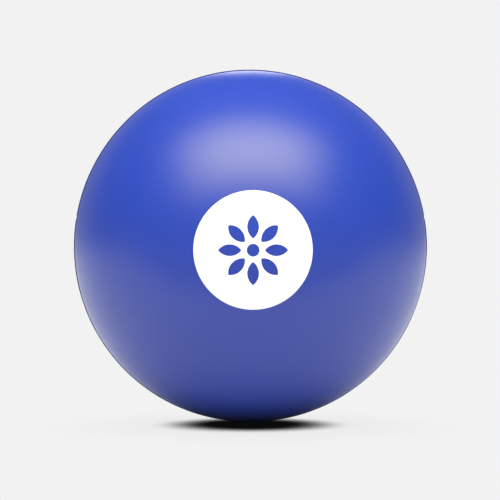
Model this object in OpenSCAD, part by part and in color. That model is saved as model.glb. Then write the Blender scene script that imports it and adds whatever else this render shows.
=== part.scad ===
// A round foam stress ball with a sprayed colour coat and a printed white spot.
// The origin is the ball's centre. +Z is up and the printed spot faces -Y.
// The mould's parting line lies in the plane Y = 0.

/* [Ball] */
// Diameter of the finished ball beside its ridge, in mm
ball_d = 70; // [50:1:80]
// Thickness of the sprayed colour coat, in mm
coat_t = 0.15; // [0.1:0.05:0.4]
// Thickness of the dense moulded skin under the coat, in mm
skin_t = 1.2; // [0.8:0.1:3]

/* [Parting line] */
// Height of the trimmed ridge left where the two mould halves met, in mm
ridge_h = 0.25; // [0.05:0.01:0.3]
// Width of the ridge across the parting line, in mm
ridge_w = 0.9; // [0.8:0.1:2]

/* [Printed spot] */
// Diameter of the white spot, in mm
spot_d = 22.5; // [16:0.5:30]
// Thickness of the ink, in mm
ink_t = 0.05; // [0.05:0.01:0.1]

/* [Rosette left open in the ink] */
// Number of petals
petals = 8; // [5:1:9]
// Distance from the spot's centre to the petals' inner points, in mm
petal_in = 2.2; // [2:0.1:3]
// Distance from the spot's centre to the petals' outer points, in mm
petal_out = 6.6; // [6:0.1:7.5]
// Greatest width of a petal, in mm
petal_w = 2.2; // [1:0.1:2.4]
// Diameter of the dot in the middle, in mm
dot_d = 2.4; // [1:0.1:3]

/* [Hidden] */

$fn = 96;

coat_r = ball_d / 2;
skin_r = coat_r - coat_t;
core_r = skin_r - skin_t;

// The ridge is the tip of a round bar bent into a ring. A bar this thick
// stands ridge_h proud of the ball over a width of ridge_w.
bar_r = (ridge_w * ridge_w / 4 + ridge_h * ridge_h) / (2 * ridge_h);

// The two arcs that bound a petal cross at its points. This is their radius.
petal_len = petal_out - petal_in;
petal_arc_r = (petal_len * petal_len + petal_w * petal_w) / (4 * petal_w);

// The spot's outline is extruded this far past the ball.
past = 1;
// A square this wide covers a quarter of any section.
far = ball_d;

// Turns a shape made round Z so that its top faces the front of the ball, -Y.
module face_front() {
    rotate([90, 0, 0])
        children();
}

// Turns a shape made round Z so that its top faces the back of the ball, +Y.
module face_back() {
    rotate([-90, 0, 0])
        children();
}

// Half section of one half of the ball, out to radius r, with half of the
// ridge on it. The flat side is the parting line.
module half_section(r) {
    intersection() {
        union() {
            circle(r = r);
            translate([r + ridge_h - bar_r, 0])
                circle(r = bar_r);
        }
        square([far, far]);
    }
}

// One half of a layer of the ball, between the radii r_in and r_out. The
// layer's inner face is plain if it lies on the core, and otherwise follows
// the ridge of the layer under it.
module half_layer(r_out, r_in, plain_inside) {
    rotate_extrude()
        difference() {
            half_section(r_out);
            if (plain_inside) {
                circle(r = r_in);
            } else {
                half_section(r_in);
            }
        }
}

// A pointed leaf shape along +X.
module petal() {
    translate([(petal_in + petal_out) / 2, 0])
        intersection() {
            translate([0, petal_arc_r - petal_w / 2])
                circle(r = petal_arc_r);
            translate([0, petal_w / 2 - petal_arc_r])
                circle(r = petal_arc_r);
        }
}

// The outline of the ink: a round spot with a rosette left open in it.
module spot_outline() {
    difference() {
        circle(d = spot_d);
        circle(d = dot_d);
        for (i = [0 : petals - 1])
            rotate(90 + i * 360 / petals)
                petal();
    }
}

// Soft cellular foam that fills the ball.
module foam_core() {
    color("lightgoldenrodyellow")
        sphere(r = core_r);
}

// Dense skin that formed against the front mould half.
module front_skin() {
    color("khaki")
        face_front()
            half_layer(skin_r, core_r, true);
}

// Dense skin that formed against the rear mould half.
module rear_skin() {
    color("khaki")
        face_back()
            half_layer(skin_r, core_r, true);
}

// Blue coat sprayed into the front mould half.
module front_coat() {
    color("royalblue")
        face_front()
            half_layer(coat_r, skin_r, false);
}

// Blue coat sprayed into the rear mould half.
module rear_coat() {
    color("royalblue")
        face_back()
            half_layer(coat_r, skin_r, false);
}

// White ink on the front of the ball.
module white_print() {
    color("white")
        intersection() {
            difference() {
                sphere(r = coat_r + ink_t);
                sphere(r = coat_r);
            }
            face_front()
                linear_extrude(coat_r + ink_t + past)
                    spot_outline();
        }
}

foam_core();
front_skin();
rear_skin();
front_coat();
rear_coat();
white_print();
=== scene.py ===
"""A blue foam stress ball with a white printed spot, on a pale studio floor."""

import math

import bmesh
import bpy
import numpy as np
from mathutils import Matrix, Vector, noise


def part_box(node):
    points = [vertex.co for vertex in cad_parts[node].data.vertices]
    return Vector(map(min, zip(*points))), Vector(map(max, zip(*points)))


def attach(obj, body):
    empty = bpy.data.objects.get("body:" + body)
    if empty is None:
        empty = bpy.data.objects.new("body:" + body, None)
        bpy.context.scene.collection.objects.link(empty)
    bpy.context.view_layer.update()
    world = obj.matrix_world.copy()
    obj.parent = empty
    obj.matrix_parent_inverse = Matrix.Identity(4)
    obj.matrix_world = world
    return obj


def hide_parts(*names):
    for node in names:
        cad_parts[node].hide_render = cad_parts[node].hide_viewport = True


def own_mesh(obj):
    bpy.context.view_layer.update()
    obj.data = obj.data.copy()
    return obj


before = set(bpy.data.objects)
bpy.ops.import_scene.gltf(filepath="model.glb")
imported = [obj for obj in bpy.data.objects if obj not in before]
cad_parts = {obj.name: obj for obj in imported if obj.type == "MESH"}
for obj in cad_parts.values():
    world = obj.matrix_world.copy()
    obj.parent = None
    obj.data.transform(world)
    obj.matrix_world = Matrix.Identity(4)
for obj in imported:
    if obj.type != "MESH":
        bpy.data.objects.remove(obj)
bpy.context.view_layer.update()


def reach(node, axis):
    """How far a CAD node reaches along +X, +Y or +Z (axis 0, 1 or 2), in metres, to the micrometre."""
    return round(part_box(node)[1][axis], 6)


# Sizes in metres, from the CAD. The origin is the ball's centre and the printed spot faces -Y.
BALL_R = reach("rear_coat", 1)
SKIN_R = reach("rear_skin", 1)
CORE_R = reach("foam_core", 2)
RIDGE_H = round(reach("rear_coat", 0) - BALL_R, 6)
SPOT_R = reach("white_print", 0)
# CAD dimensions that no node's box shows: the ridge's width, the ink's thickness and the rosette.
RIDGE_W = 0.0009
INK_T = 0.00005
DOT_R = 0.0012
PETALS = 8
PETAL_IN = 0.0022
PETAL_OUT = 0.0066
PETAL_W = 0.0022

# Hidden layers stand this far apart, so that no two surfaces share a place.
GAP = 0.00002
# Two lengths or two angles that are closer than this are the same one.
SAME = 1e-9

# How far each wave of the moulded surface's slow ripple stands off a true sphere.
RIPPLE = 0.00003
# The trimmed ridge's height, as shares of its full height: its mean, how far each wave of the knife
# takes it off that, and its least.
TRIM_MEAN, TRIM_SWING, TRIM_LEAST = 0.91, 0.035, 0.2
# Those waves: each one's share of the swing, how many of it go round the ball, and its start.
TRIM_WAVES = ((1, 5, 0.4), (0.7, 11, 1.9), (0.5, 23, 0.8), (0.35, 57, 2.6))
# The knife cut two small nicks: where, in degrees round the ridge, and their depth, as a share of its
# height, and width, in radians.
NICKS_AT = (9.6, 170.4)
NICK_DEPTH, NICK_WIDTH = 0.6, 0.007
# The ridge's foot blends into the ball where the two are closer than this.
RIDGE_BLEND = 0.000015

# The core's open cells: their size, the pits' depth, and how far a pit reaches, in cells.
CELL, PIT_DEPTH, PIT_REACH = 0.0021, 0.00022, 0.62
# The finer grain of the foam: its size in cells, and its share of a pit's depth.
GRAIN_SIZE, GRAIN_SHARE = 0.3, 0.1

# Points round a layer, and its rows from the parting plane to the pole. Each stretch of rows has its
# start and end in degrees and its number of rows, which crowd together on the ridge.
AROUND = 384
ROWS = ((0, 1, 25), (1, 4, 12), (4, 90, 59))
# Points of the ink's mesh across one petal and between two, and rows inside and outside the petals.
ACROSS_PETAL, BETWEEN_PETALS = 33, 8
INNER_ROWS, OUTER_ROWS = 7, 20


# ---------------------------------------------------------------- shapes


def put_in_scene(name, data):
    """Makes an object of a mesh, light or camera."""
    obj = bpy.data.objects.new(name, data)
    bpy.context.scene.collection.objects.link(obj)
    return obj


def mesh_piece(name, verts, faces, sharp_angle=40):
    """A smooth piece that keeps its edges of more than sharp_angle degrees."""
    mesh = bpy.data.meshes.new(name)
    mesh.from_pydata([tuple(v) for v in verts], [], faces)
    mesh.validate()
    mesh.polygons.foreach_set("use_smooth", [True] * len(mesh.polygons))
    mesh.set_sharp_from_angle(angle=math.radians(sharp_angle))
    mesh.update()
    return put_in_scene(name, mesh)


def ripple(direction):
    """How far the moulded surface stands off a true sphere in these directions, in metres."""
    x, y, z = direction[..., 0], direction[..., 1], direction[..., 2]
    return RIPPLE * (
        np.sin(3.1 * x + 2.3 * z + 0.7)
        + np.sin(3.7 * z - 2.2 * y + 2.1)
        + np.sin(2.9 * y + 4.1 * x + 4.0)
        + 0.3 * np.sin(8.3 * x - 6.2 * z + 5.2 * y)
    )


def trim_height(phi):
    """The ridge's height round the parting line, which a knife has trimmed a little unevenly."""
    wave = sum(share * np.sin(count * phi + start) for share, count, start in TRIM_WAVES)
    height = RIDGE_H * (TRIM_MEAN + TRIM_SWING * wave)
    for degrees in NICKS_AT:
        turn = np.abs((phi - math.radians(degrees) + math.pi) % (2 * math.pi) - math.pi)
        height = height * (1 - NICK_DEPTH * np.exp(-((turn / NICK_WIDTH) ** 2)))
    return np.clip(height, TRIM_LEAST * RIDGE_H, RIDGE_H)


def ridged_radius(alpha, height, r):
    """Distance from the centre to a layer of radius r with the ridge on it, at alpha off the parting plane.

    The ridge is the tip of a round bar bent into a ring, blended into the ball at its foot."""
    bar = (RIDGE_W**2 / 4 + RIDGE_H**2) / (2 * RIDGE_H)
    centre = r + height - bar
    under = bar**2 - (centre * np.sin(alpha)) ** 2
    ridge = centre * np.cos(alpha) + np.sqrt(np.clip(under, 0, None))
    ridge = np.where(under > 0, ridge, 0)
    mix = np.clip(0.5 + (ridge - r) / (2 * RIDGE_BLEND), 0, 1)
    return r + (ridge - r) * mix + RIDGE_BLEND * mix * (1 - mix)


def half_surface(side, r, ridge=True):
    """Points over one half of a layer as (rows, around, 3), and the point at its pole."""
    stretches = [np.linspace(start, end, rows, endpoint=False) for start, end, rows in ROWS]
    alpha = np.radians(np.concatenate(stretches))[:, None]
    phi = np.linspace(0, 2 * math.pi, AROUND, endpoint=False)[None, :]
    direction = np.stack(
        [
            np.cos(alpha) * np.cos(phi),
            side * np.sin(alpha) * np.ones_like(phi),
            np.cos(alpha) * np.sin(phi),
        ],
        axis=-1,
    )
    radius = r * np.ones(direction.shape[:2])
    if ridge:
        radius = ridged_radius(alpha, trim_height(phi), r)
    radius = radius + ripple(direction)
    pole = np.array([0.0, side, 0.0])
    return direction * radius[..., None], pole * (r + ripple(pole))


def half_layer(name, side, r_out, r_in, plain_inside):
    """A closed half shell whose flat rim lies on the parting plane.

    Its inner face is plain if it lies on the core, and otherwise follows the ridge of the layer
    under it."""
    outer, outer_pole = half_surface(side, r_out)
    inner, inner_pole = half_surface(side, r_in, ridge=not plain_inside)
    rows = outer.shape[0]
    verts = np.concatenate(
        [outer.reshape(-1, 3), inner.reshape(-1, 3), [outer_pole, inner_pole]]
    )
    inner_at = rows * AROUND
    poles = (2 * inner_at, 2 * inner_at + 1)
    faces = []

    def add(face, flip):
        faces.append(face[::-1] if flip else face)

    for layer, start in enumerate((0, inner_at)):
        outward = (side > 0) == (layer == 0)
        for i in range(AROUND):
            j = (i + 1) % AROUND
            for k in range(rows - 1):
                a, b = start + k * AROUND, start + (k + 1) * AROUND
                add((a + i, b + i, b + j, a + j), not outward)
            last = start + (rows - 1) * AROUND
            add((last + i, poles[layer], last + j), not outward)
    for i in range(AROUND):
        j = (i + 1) % AROUND
        add((i, j, inner_at + j, inner_at + i), side < 0)
    return mesh_piece(name, verts, faces)


def petal_arcs():
    """A petal's two arcs: their radius, the petal's middle, and how far off its axis they centre."""
    length = PETAL_OUT - PETAL_IN
    radius = (length**2 + PETAL_W**2) / (4 * PETAL_W)
    return radius, (PETAL_OUT + PETAL_IN) / 2, radius - PETAL_W / 2


def petal_crossings(phi):
    """Where a ray at phi from the spot's centre goes into and out of the petal that lies along phi = 0."""
    arc, middle, drop = petal_arcs()
    along = middle * np.cos(phi) - drop * np.sin(np.abs(phi))
    half = np.sqrt(np.clip(along**2 - middle**2 - drop**2 + arc**2, 0, None))
    return along - half, along + half


def ink_rays():
    """Rays from the spot's centre: their angles, and where a petal's opening starts and ends on each."""
    arc, middle, drop = petal_arcs()
    edge = math.asin(arc / math.hypot(middle, drop)) - math.atan2(drop, middle)
    sector = 2 * math.pi / PETALS
    across_petal = edge * np.sin(np.linspace(-math.pi / 2, math.pi / 2, ACROSS_PETAL))
    between = np.linspace(edge, sector - edge, BETWEEN_PETALS + 2)[1:-1]
    one = np.concatenate([across_petal, between])
    near, far = petal_crossings(np.clip(one, -edge, edge))
    meet = petal_crossings(np.array([edge]))[0][0]
    open_here = np.abs(one) < edge - SAME
    near = np.where(open_here, near, meet)
    far = np.where(open_here, far, meet)
    turns = [one + sector * i + math.pi / 2 for i in range(PETALS)]
    return np.concatenate(turns), np.tile(near, PETALS), np.tile(far, PETALS)


def ink_spot(name):
    """The round spot of ink with the rosette left open in it.

    Rows of points run round the spot, some inside the petals and some outside. Between two petals the
    last row inside and the first row outside are the same points, and on a petal they are its edges."""
    phi, near, far = ink_rays()
    count = len(phi)
    bands = []
    for start, stop, steps in ((DOT_R, near, INNER_ROWS), (far, SPOT_R, OUTER_ROWS)):
        t = np.linspace(0, 1, steps)[:, None]
        bands.append((1 - t) * start + t * stop)
    radius = np.concatenate(bands)
    rows, split = INNER_ROWS + OUTER_ROWS, INNER_ROWS
    x, z = radius * np.cos(phi), radius * np.sin(phi)

    def face_points(lift):
        y = -np.sqrt(BALL_R**2 - x**2 - z**2)
        unit = np.stack([x, y, z], axis=-1) / BALL_R
        distance = BALL_R + ripple(unit) + lift
        return unit * distance[..., None]

    top, bottom = face_points(INK_T), face_points(-GAP)
    flat = rows * count
    verts = np.concatenate([top.reshape(-1, 3), bottom.reshape(-1, 3)])
    closed = np.abs(near - far) < SAME
    # Each point's number, or that of the point it coincides with.
    number = np.arange(2 * flat)
    for layer in (0, flat):
        for i in np.nonzero(closed)[0]:
            number[layer + split * count + i] = layer + (split - 1) * count + i
    faces = []

    def add(*corners):
        face = []
        for c in corners:
            v = int(number[c])
            if v not in face:
                face.append(v)
        if len(face) > 2:
            faces.append(tuple(face))

    for i in range(count):
        j = (i + 1) % count
        for k in range(rows - 1):
            if k == split - 1:
                continue
            a, b = k * count, (k + 1) * count
            add(a + i, b + i, b + j, a + j)
            add(flat + a + j, flat + b + j, flat + b + i, flat + a + i)
        last = (rows - 1) * count
        add(j, flat + j, flat + i, i)
        add(last + i, flat + last + i, flat + last + j, last + j)
        if not (closed[i] and closed[j]):
            a, b = (split - 1) * count, split * count
            add(a + i, flat + a + i, flat + a + j, a + j)
            add(b + j, flat + b + j, flat + b + i, b + i)
    used = sorted({v for f in faces for v in f})
    renumber = {v: n for n, v in enumerate(used)}
    faces = [tuple(renumber[v] for v in f) for f in faces]
    return mesh_piece(name, verts[used], faces)


def foam_ball(name, r):
    """A ball of foam of radius r, with pits where the cells at its surface are open."""
    mesh = bpy.data.meshes.new(name)
    bm = bmesh.new()
    bmesh.ops.create_icosphere(bm, subdivisions=6, radius=r)
    for v in bm.verts:
        from_middle = noise.voronoi(v.co / CELL)[0][0]
        pit = max(0.0, 1 - from_middle / PIT_REACH)
        grain = noise.noise(v.co / (CELL * GRAIN_SIZE))
        swell = float(ripple(np.array(v.co.normalized())))
        v.co *= 1 + (swell - PIT_DEPTH * pit - PIT_DEPTH * GRAIN_SHARE * (1 + grain)) / r
    bm.to_mesh(mesh)
    bm.free()
    mesh.polygons.foreach_set("use_smooth", [True] * len(mesh.polygons))
    return put_in_scene(name, mesh)


# ---------------------------------------------------------------- materials


class Nodes:
    """Short calls for building one material's node tree. Patterns are laid out in the object's metres."""

    def __init__(self, name):
        self.material = bpy.data.materials.new(name)
        self.material.use_nodes = True
        self.tree = self.material.node_tree
        self.shader = self.tree.nodes["Principled BSDF"]
        self.place = self.add("ShaderNodeTexCoord").outputs["Object"]

    def add(self, kind, **settings):
        node = self.tree.nodes.new(kind)
        for key, value in settings.items():
            setattr(node, key, value)
        return node

    def link(self, out, into):
        self.tree.links.new(out, into)

    def noise(self, scale, detail=2.0, roughness=0.5):
        """Noise from 0 to 1, with about this many waves to the metre."""
        node = self.add("ShaderNodeTexNoise")
        node.inputs["Scale"].default_value = scale
        node.inputs["Detail"].default_value = detail
        node.inputs["Roughness"].default_value = roughness
        self.link(self.place, node.inputs["Vector"])
        return node.outputs["Fac"]

    def ramp(self, value, low, high, out_low=0, out_high=1):
        """Stretches low to high over out_low to out_high, and holds the ends beyond."""
        node = self.add("ShaderNodeMapRange")
        for key, number in zip(
            ("From Min", "From Max", "To Min", "To Max"),
            (low, high, out_low, out_high),
        ):
            node.inputs[key].default_value = number
        self.link(value, node.inputs["Value"])
        return node.outputs["Result"]

    def colours(self, fac, a, b):
        """A mix of a and b, each of them a colour or another node's output."""
        node = self.add("ShaderNodeMix", data_type="RGBA")
        if isinstance(fac, float):
            node.inputs["Factor"].default_value = fac
        else:
            self.link(fac, node.inputs["Factor"])
        for socket, colour in ((node.inputs[6], a), (node.inputs[7], b)):
            if isinstance(colour, tuple):
                socket.default_value = (*colour, 1)
            else:
                self.link(colour, socket)
        return node.outputs[2]

    def math(self, operation, a, b=0):
        """One operation on a and b, each of them a number or another node's output."""
        node = self.add("ShaderNodeMath", operation=operation)
        for socket, value in zip(node.inputs, (a, b)):
            if isinstance(value, (int, float)):
                socket.default_value = value
            else:
                self.link(value, socket)
        return node.outputs[0]

    def bump(self, height, distance, strength):
        """Normals for a relief this many metres deep."""
        node = self.add("ShaderNodeBump")
        node.inputs["Distance"].default_value = distance
        node.inputs["Strength"].default_value = strength
        self.link(height, node.inputs["Height"])
        return node.outputs["Normal"]

    def surface(self, colour, roughness, normal, specular=0.5):
        """The finished material."""
        self.link(colour, self.shader.inputs["Base Color"])
        self.link(roughness, self.shader.inputs["Roughness"])
        self.link(normal, self.shader.inputs["Normal"])
        self.shader.inputs["Specular IOR Level"].default_value = specular
        return self.material


def coat_material():
    """Satin blue coat: an even spray, faintly cloudy and speckled, with a trace of orange peel."""
    n = Nodes("satin_blue_coat")
    cloudy = n.ramp(n.noise(60, 3), 0.3, 0.7)
    speckled = n.ramp(n.noise(2600, 2), 0.35, 0.65)
    clouds = n.colours(cloudy, (0.0106, 0.0385, 0.312), (0.0120, 0.0425, 0.332))
    speckles = n.colours(speckled, (0.0100, 0.0365, 0.302), (0.0126, 0.0445, 0.342))
    satin = n.ramp(n.noise(900, 4), 0.3, 0.7, 0.35, 0.385)
    orange_peel = n.bump(n.noise(1300, 2, 0.4), 0.00002, 0.35)
    n.shader.inputs["IOR"].default_value = 1.5
    n.shader.inputs["Specular Tint"].default_value = (1.0, 0.88, 0.26, 1)
    return n.surface(n.colours(0.5, clouds, speckles), satin, orange_peel, specular=0.62)


def trim_material():
    """The coat on the ridge: a darker, matt blue, with a ragged darker line along its top."""
    n = Nodes("trimmed_blue_ridge")
    split = n.add("ShaderNodeSeparateXYZ")
    n.link(n.place, split.inputs[0])
    from_line = n.math("ABSOLUTE", split.outputs["Y"])
    ragged = n.ramp(n.noise(700, 3), 0.3, 0.7, 0.00008, 0.00022)
    cut = n.math("LESS_THAN", from_line, ragged)
    scraped = n.ramp(n.noise(1800, 4), 0.35, 0.65)
    dull = n.colours(scraped, (0.009, 0.016, 0.10), (0.012, 0.023, 0.15))
    blue = n.colours(cut, dull, (0.007, 0.011, 0.07))
    matt = n.ramp(n.noise(1500, 3), 0.3, 0.7, 0.6, 0.8)
    scrapes = n.bump(n.noise(2400, 3), 0.00003, 0.6)
    return n.surface(blue, matt, scrapes, specular=0.04)


def ink_material():
    """Opaque white pad-print ink, a little uneven where the pad lifted off."""
    n = Nodes("white_pad_ink")
    thin = n.ramp(n.noise(420, 4), 0.35, 0.75)
    white = n.colours(thin, (0.82, 0.82, 0.825), (0.78, 0.785, 0.80))
    eggshell = n.ramp(n.noise(1500, 3), 0.3, 0.7, 0.46, 0.56)
    grain = n.bump(n.noise(2600, 2), 0.00001, 0.4)
    return n.surface(white, eggshell, grain, specular=0.3)


def skin_material():
    """Dense self-skin of the foam: cream, closed and slightly dimpled."""
    n = Nodes("dense_foam_skin")
    patch = n.ramp(n.noise(90, 4), 0.3, 0.7)
    cream = n.colours(patch, (0.74, 0.66, 0.42), (0.82, 0.75, 0.53))
    smooth = n.ramp(n.noise(500, 3), 0.3, 0.7, 0.48, 0.62)
    dimples = n.bump(n.noise(1100, 3), 0.00005, 0.5)
    return n.surface(cream, smooth, dimples)


def foam_material():
    """Soft open foam: pale cell walls, with painted shade in the pits between them."""
    n = Nodes("soft_cell_foam")
    cells = n.add("ShaderNodeTexVoronoi", feature="DISTANCE_TO_EDGE")
    cells.inputs["Scale"].default_value = 1100
    n.link(n.place, cells.inputs["Vector"])
    wall = n.ramp(cells.outputs["Distance"], 0.0, 0.22, 1, 0)
    # The pits are painted darker, as shade in their hollows; the walls keep the foam's pale colour.
    pale = n.colours(wall, (0.62, 0.54, 0.34), (0.9, 0.85, 0.66))
    matt = n.ramp(n.noise(400, 3), 0.3, 0.7, 0.8, 0.95)
    n.shader.inputs["Subsurface Weight"].default_value = 0.15
    n.shader.inputs["Subsurface Radius"].default_value = (0.002, 0.0016, 0.001)
    return n.surface(pale, matt, n.bump(wall, 0.0002, 0.8))


# ---------------------------------------------------------------- the ball

# The trimmed part of the ridge reaches this far to each side of the parting line, in ridge widths.
TRIMMED = 0.45


def settle(obj, body, node, material):
    """Puts a finished piece on its body, in place of its CAD node."""
    obj.data.materials.append(material)
    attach(obj, body)
    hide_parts(node)
    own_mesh(obj)
    return obj


coat, trim, skin = coat_material(), trim_material(), skin_material()

for side, body, place in ((-1, "front_half", "front"), (1, "rear_half", "rear")):
    coated = settle(
        half_layer(f"{place}_blue_coat", side, BALL_R, SKIN_R, plain_inside=False),
        body,
        f"{place}_coat",
        coat,
    )
    coated.data.materials.append(trim)
    for face in coated.data.polygons:
        face.material_index = int(abs(face.center.y) < TRIMMED * RIDGE_W)
    moulded = settle(
        half_layer(f"{place}_foam_skin", side, SKIN_R - GAP, CORE_R, plain_inside=True),
        body,
        f"{place}_skin",
        skin,
    )

settle(ink_spot("printed_spot"), "front_half", "white_print", ink_material())
core = settle(
    foam_ball("soft_foam_core", CORE_R - 2 * GAP),
    "rear_half",
    "foam_core",
    foam_material(),
)


# ---------------------------------------------------------------- studio

# Tones, as shares of white: the floor's paper, the room's light on matt surfaces and in reflections,
# and the backdrop and floor as the camera sees them.
PAPER = 0.62
ROOM_ON_MATT, ROOM_IN_GLOSS, BACKDROP = 0.4, 0.1, 0.89
FLAG_BLACK = 0.02
# Each shadow's tone: the open sky where it is darkest, the open sky where it ends, and how dark it is.
CONTACT_SHADOW, SOFT_SHADOW = (0.15, 0.38, 0.004), (0.35, 0.85, 0.94)
# The sky that lights the shadow leans back this far, so the shadow reaches towards the front.
SHADOW_LEAN = math.radians(22)
SHADOW_REACH = 6 * BALL_R
FLOOR_HALF = 12.0


def area_light(name, place, size, radiance, aim=(0, 0, 0)):
    """A rectangular light of one even radiance, turned towards aim and unseen by the camera."""
    light = bpy.data.lights.new(name, "AREA")
    light.shape = "RECTANGLE"
    light.size, light.size_y = size
    light.energy = radiance * math.pi * size[0] * size[1]
    obj = put_in_scene(name, light)
    obj.location = place
    obj.rotation_euler = (Vector(aim) - Vector(place)).to_track_quat("-Z", "Y").to_euler()
    obj.visible_camera = False
    return obj


def card(name, half, y_low, y_high, z, material):
    """A level rectangle on the stage, centred on X."""
    mesh = bpy.data.meshes.new(name)
    corners = [(-half, y_low, z), (half, y_low, z), (half, y_high, z), (-half, y_high, z)]
    mesh.from_pydata(corners, [], [(0, 1, 2, 3)])
    mesh.materials.append(material)
    obj = put_in_scene(name, mesh)
    return obj


def floor_material():
    """White paper that lights the ball. The camera sees it in the backdrop's even tone, dark only where
    the ball closes it in."""
    material = bpy.data.materials.new("studio_white")
    material.use_nodes = True
    tree = material.node_tree
    tree.nodes.clear()
    paper = tree.nodes.new("ShaderNodeBsdfDiffuse")
    paper.inputs["Color"].default_value = (PAPER, PAPER, PAPER, 1)

    lean = tree.nodes.new("ShaderNodeCombineXYZ")
    lean.inputs["Y"].default_value = math.sin(SHADOW_LEAN)
    lean.inputs["Z"].default_value = math.cos(SHADOW_LEAN)
    open_sky = tree.nodes.new("ShaderNodeAmbientOcclusion")
    open_sky.samples = 64
    open_sky.inputs["Distance"].default_value = SHADOW_REACH
    tree.links.new(lean.outputs["Vector"], open_sky.inputs["Normal"])

    both_shadows = tree.nodes.new("ShaderNodeMath")
    both_shadows.operation = "MULTIPLY"
    for socket, (closed, clear, darkest) in zip(both_shadows.inputs, (CONTACT_SHADOW, SOFT_SHADOW)):
        shadow = tree.nodes.new("ShaderNodeMapRange")
        shadow.interpolation_type = "SMOOTHSTEP"
        shadow.inputs["From Min"].default_value = closed
        shadow.inputs["From Max"].default_value = clear
        shadow.inputs["To Min"].default_value = darkest
        tree.links.new(open_sky.outputs["AO"], shadow.inputs["Value"])
        tree.links.new(shadow.outputs["Result"], socket)
    even = tree.nodes.new("ShaderNodeEmission")
    even.inputs["Color"].default_value = (BACKDROP, BACKDROP, BACKDROP, 1)
    tree.links.new(both_shadows.outputs[0], even.inputs["Strength"])

    path = tree.nodes.new("ShaderNodeLightPath")
    choose = tree.nodes.new("ShaderNodeMixShader")
    tree.links.new(path.outputs["Is Camera Ray"], choose.inputs["Fac"])
    tree.links.new(paper.outputs["BSDF"], choose.inputs[1])
    tree.links.new(even.outputs["Emission"], choose.inputs[2])
    out = tree.nodes.new("ShaderNodeOutputMaterial")
    tree.links.new(choose.outputs["Shader"], out.inputs["Surface"])
    return material


def flag_material():
    """Dull black card."""
    material = bpy.data.materials.new("flag_black")
    material.use_nodes = True
    shader = material.node_tree.nodes["Principled BSDF"]
    shader.inputs["Base Color"].default_value = (FLAG_BLACK, FLAG_BLACK, FLAG_BLACK, 1)
    return material


def backdrop():
    """The world: a pale even tone for the camera, a soft fill on matt surfaces, dim in reflections."""
    world = bpy.data.worlds.new("studio")
    bpy.context.scene.world = world
    world.use_nodes = True
    tree = world.node_tree
    ground = tree.nodes["Background"]
    ground.inputs["Color"].default_value = (1, 1, 1, 1)
    seen = tree.nodes.new("ShaderNodeLightPath")
    lit = tree.nodes.new("ShaderNodeMapRange")
    lit.inputs["To Min"].default_value = ROOM_IN_GLOSS
    lit.inputs["To Max"].default_value = ROOM_ON_MATT
    tree.links.new(seen.outputs["Is Diffuse Ray"], lit.inputs["Value"])
    tone = tree.nodes.new("ShaderNodeMapRange")
    tone.inputs["To Max"].default_value = BACKDROP
    tree.links.new(seen.outputs["Is Camera Ray"], tone.inputs["Value"])
    tree.links.new(lit.outputs["Result"], tone.inputs["To Min"])
    tree.links.new(tone.outputs["Result"], ground.inputs["Strength"])


# The ball stands on its ridge.
card("studio_floor", FLOOR_HALF, -FLOOR_HALF, FLOOR_HALF, -BALL_R - RIDGE_H, floor_material())
# A dark card lies in front of the ball, seen only in reflections, as a photographer would lay one.
flag = card(
    "black_flag",
    half=0.8,
    y_low=-1.6,
    y_high=-0.075,
    z=-BALL_R + 0.001,
    material=flag_material(),
)
flag.visible_camera = flag.visible_diffuse = flag.visible_shadow = False
backdrop()

# Three nested softboxes overhead, bright in the middle and fading outwards, give the soft highlight.
area_light("overhead_softbox", (0, -0.6, 1.26), (2.6, 1.5), 2.0)
area_light("softbox_middle", (0, -0.615, 1.24), (1.95, 1.05), 2.9)
area_light("softbox_core", (0, -0.61, 1.23), (1.2, 0.6), 3.1)
# A small panel behind draws the bright line along the ball's top.
area_light("rear_panel", (0.015, 1.0, 0.33), (0.12, 0.26), 3.2)
# A wash over the paper behind the ball, kept out of reflections.
wash = area_light("background_wash", (0, 0.8, 0.7), (1.6, 0.7), 2.7, aim=(0, 0.45, -0.035))
wash.visible_glossy = False
# A wide white sweep behind, seen only in reflections, lifts the ball's rims.
sweep = area_light("white_sweep", (0, 1.5, 0.3), (4.5, 0.9), 0.24)
sweep.visible_diffuse = False

# ---------------------------------------------------------------- camera

DISTANCE = 0.6
AZIMUTH, ELEVATION = math.radians(-0.84), math.radians(1.24)
# The ball's radius, and how far it sits above and to the left of the middle, in halves of the picture.
FILLS, RAISED, LEFT = 0.7050, 0.0153, -0.0016

camera = put_in_scene("camera", bpy.data.cameras.new("camera"))
bpy.context.scene.camera = camera
back = Vector(
    (
        math.sin(AZIMUTH) * math.cos(ELEVATION),
        -math.cos(AZIMUTH) * math.cos(ELEVATION),
        math.sin(ELEVATION),
    )
)
camera.location = back * DISTANCE
camera.rotation_euler = (-back).to_track_quat("-Z", "Y").to_euler()
half_view = math.tan(math.asin((BALL_R + RIDGE_H / 2) / DISTANCE)) / FILLS
camera.data.sensor_width = 36
camera.data.lens = camera.data.sensor_width / 2 / half_view
camera.data.shift_x = LEFT / 2
camera.data.shift_y = -RAISED / 2
camera.data.clip_start = 0.01

bpy.context.scene.view_settings.view_transform = "Standard"
bpy.context.scene.view_settings.look = "None"
